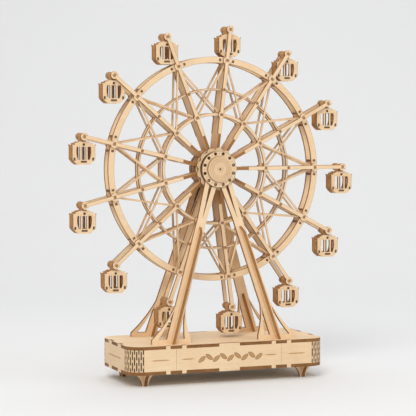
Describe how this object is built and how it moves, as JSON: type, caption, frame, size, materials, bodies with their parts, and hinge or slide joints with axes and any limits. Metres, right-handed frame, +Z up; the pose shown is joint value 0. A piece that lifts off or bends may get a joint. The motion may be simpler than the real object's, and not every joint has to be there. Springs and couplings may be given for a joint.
{
  "type": "crank ferris wheel toy",
  "caption": "Laser-cut plywood ferris wheel on a box base, with hanging cabins, turned through gears by a crank at the back.",
  "frame": {"origin": "centre of the base's footprint, on the surface that the feet stand on", "axes": "+Z up, +X to the right of the front view, +Y from the front to the crank at the back"},
  "size_m": [0.2761, 0.085, 0.3238],
  "materials": {
    "ply": "unfinished birch plywood with laser-browned edges",
    "dowel": "unfinished birch dowel"
  },
  "bodies": {
    "frame": {"base_bottom_plate": "ply", "base_top_plate": "ply", "base_front_panel": "ply", "base_rear_panel": "ply", "base_left_wrap": "ply", "base_right_wrap": "ply", "base_cross_walls": "ply", "foot_plates": "ply", "foot_ribs": "ply", "front_left_leg": "ply", "front_right_leg": "ply", "rear_left_leg": "ply", "rear_right_leg": "ply", "front_leg_ribs": "ply", "rear_leg_ribs": "ply", "front_flange": "ply", "rear_flange": "ply", "front_cap": "ply", "rear_cap": "ply", "flange_pegs": "dowel", "crank_bearing_plate": "ply"},
    "wheel": {"axle": "dowel", "front_hub_disc": "ply", "front_hub_plate": "ply", "rear_hub_plate": "ply", "drive_gear": "ply", "spoke_ribs": "ply", "front_spokes": "ply", "rear_spokes": "ply", "front_rim": "ply", "rear_rim": "ply", "rim_ties": "ply", "front_inner_ring": "ply", "rear_inner_ring": "ply", "front_middle_ring": "ply", "rear_middle_ring": "ply", "front_braces": "ply", "rear_braces": "ply", "joint_pins": "dowel", "cabin_pins": "dowel", "pin_discs": "ply"},
    "crank": {"crank_shaft": "dowel", "crank_sleeve": "dowel", "pinion": "ply", "crank_arm": "ply", "handle_pin": "dowel"},
    "handle": {"crank_handle": "dowel"},
    "cabin_01": {"cabin_01": "ply"},
    "cabin_02": {"cabin_02": "ply"},
    "cabin_03": {"cabin_03": "ply"},
    "cabin_04": {"cabin_04": "ply"},
    "cabin_05": {"cabin_05": "ply"},
    "cabin_06": {"cabin_06": "ply"},
    "cabin_07": {"cabin_07": "ply"},
    "cabin_08": {"cabin_08": "ply"},
    "cabin_09": {"cabin_09": "ply"},
    "cabin_10": {"cabin_10": "ply"},
    "cabin_11": {"cabin_11": "ply"},
    "cabin_12": {"cabin_12": "ply"},
    "cabin_13": {"cabin_13": "ply"}
  },
  "joints": [
    {"name": "wheel_spin", "type": "hinge", "parent": "frame", "child": "wheel", "pos_m": [0, 0, 0.19239], "axis": [0, 1, 0], "continuous": true},
    {"name": "cabin_01_swing", "type": "hinge", "parent": "wheel", "child": "cabin_01", "pos_m": [0.01457, 0, 0.32026], "axis": [0, 1, 0], "continuous": true},
    {"name": "cabin_02_swing", "type": "hinge", "parent": "wheel", "child": "cabin_02", "pos_m": [0.07232, 0, 0.29884], "axis": [0, 1, 0], "continuous": true},
    {"name": "cabin_03_swing", "type": "hinge", "parent": "wheel", "child": "cabin_03", "pos_m": [0.11351, 0, 0.25304], "axis": [0, 1, 0], "continuous": true},
    {"name": "cabin_04_swing", "type": "hinge", "parent": "wheel", "child": "cabin_04", "pos_m": [0.12869, 0, 0.19334], "axis": [0, 1, 0], "continuous": true},
    {"name": "cabin_05_swing", "type": "hinge", "parent": "wheel", "child": "cabin_05", "pos_m": [0.11439, 0, 0.13343], "axis": [0, 1, 0], "continuous": true},
    {"name": "cabin_06_swing", "type": "hinge", "parent": "wheel", "child": "cabin_06", "pos_m": [0.07389, 0, 0.08702], "axis": [0, 1, 0], "continuous": true},
    {"name": "cabin_07_swing", "type": "hinge", "parent": "wheel", "child": "cabin_07", "pos_m": [0.01646, 0, 0.06476], "axis": [0, 1, 0], "continuous": true},
    {"name": "cabin_08_swing", "type": "hinge", "parent": "wheel", "child": "cabin_08", "pos_m": [-0.04475, 0, 0.07173], "axis": [0, 1, 0], "continuous": true},
    {"name": "cabin_09_swing", "type": "hinge", "parent": "wheel", "child": "cabin_09", "pos_m": [-0.09569, 0, 0.10634], "axis": [0, 1, 0], "continuous": true},
    {"name": "cabin_10_swing", "type": "hinge", "parent": "wheel", "child": "cabin_10", "pos_m": [-0.12472, 0, 0.16067], "axis": [0, 1, 0], "continuous": true},
    {"name": "cabin_11_swing", "type": "hinge", "parent": "wheel", "child": "cabin_11", "pos_m": [-0.12518, 0, 0.22227], "axis": [0, 1, 0], "continuous": true},
    {"name": "cabin_12_swing", "type": "hinge", "parent": "wheel", "child": "cabin_12", "pos_m": [-0.09695, 0, 0.27702], "axis": [0, 1, 0], "continuous": true},
    {"name": "cabin_13_swing", "type": "hinge", "parent": "wheel", "child": "cabin_13", "pos_m": [-0.04652, 0, 0.31238], "axis": [0, 1, 0], "continuous": true},
    {"name": "crank_spin", "type": "hinge", "parent": "frame", "child": "crank", "pos_m": [0, 0.03, 0.16839], "axis": [0, 1, 0], "continuous": true},
    {"name": "handle_spin", "type": "hinge", "parent": "crank", "child": "handle", "pos_m": [0, 0.03, 0.18839], "axis": [0, 1, 0], "continuous": true}
  ],
  "couplings": [
    {"joint": "cabin_01_swing", "follows": "wheel_spin", "ratio": -1},
    {"joint": "cabin_02_swing", "follows": "wheel_spin", "ratio": -1},
    {"joint": "cabin_03_swing", "follows": "wheel_spin", "ratio": -1},
    {"joint": "cabin_04_swing", "follows": "wheel_spin", "ratio": -1},
    {"joint": "cabin_05_swing", "follows": "wheel_spin", "ratio": -1},
    {"joint": "cabin_06_swing", "follows": "wheel_spin", "ratio": -1},
    {"joint": "cabin_07_swing", "follows": "wheel_spin", "ratio": -1},
    {"joint": "cabin_08_swing", "follows": "wheel_spin", "ratio": -1},
    {"joint": "cabin_09_swing", "follows": "wheel_spin", "ratio": -1},
    {"joint": "cabin_10_swing", "follows": "wheel_spin", "ratio": -1},
    {"joint": "cabin_11_swing", "follows": "wheel_spin", "ratio": -1},
    {"joint": "cabin_12_swing", "follows": "wheel_spin", "ratio": -1},
    {"joint": "cabin_13_swing", "follows": "wheel_spin", "ratio": -1},
    {"joint": "crank_spin", "follows": "wheel_spin", "ratio": -3}
  ]
}
